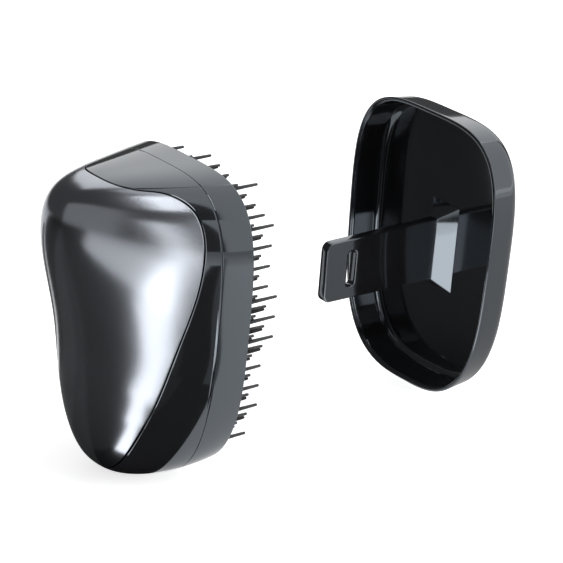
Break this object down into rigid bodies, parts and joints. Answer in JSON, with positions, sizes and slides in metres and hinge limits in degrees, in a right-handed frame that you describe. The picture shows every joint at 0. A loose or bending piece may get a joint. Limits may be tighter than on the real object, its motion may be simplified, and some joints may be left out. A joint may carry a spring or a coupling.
{
  "type": "hair grooming brush",
  "caption": "Compact palm-held hair grooming brush with a sloped metallic back, a field of slim bristles and a pull-off tray cover that locks in by a windowed tongue.",
  "frame": {"origin": "under the middle of the whole, on the level of the brush's tail", "axes": "+X the way the bristles point and the cover pulls off, +Y across, +Z from the narrow tail to the wide head"},
  "size_m": [0.1498, 0.0654, 0.0935],
  "materials": {
    "metal_coat": "satin gunmetal coat",
    "black_gloss": "polished",
    "black_pad": "satin",
    "black_bristle": "satin",
    "inner_plastic": "moulded",
    "steel": "bright"
  },
  "bodies": {
    "brush": {"back_cover": "metal_coat", "upper_shell": "black_gloss", "lower_shell": "black_gloss", "bristle_pad": "black_pad", "long_bristles": "black_bristle", "short_bristles": "black_bristle", "pad_carrier": "inner_plastic", "shell_screws": "steel", "tongue_socket": "inner_plastic", "catch_leaf": "steel", "catch_rivets": "steel"},
    "cover": {"cover_shell": "black_gloss", "cover_tongue": "black_gloss"}
  },
  "joints": [
    {"name": "cover_slide", "type": "slide", "parent": "brush", "child": "cover", "axis": [-1, 0, 0], "range_m": [0, 0.09], "deforming": ["catch_leaf"]}
  ]
}
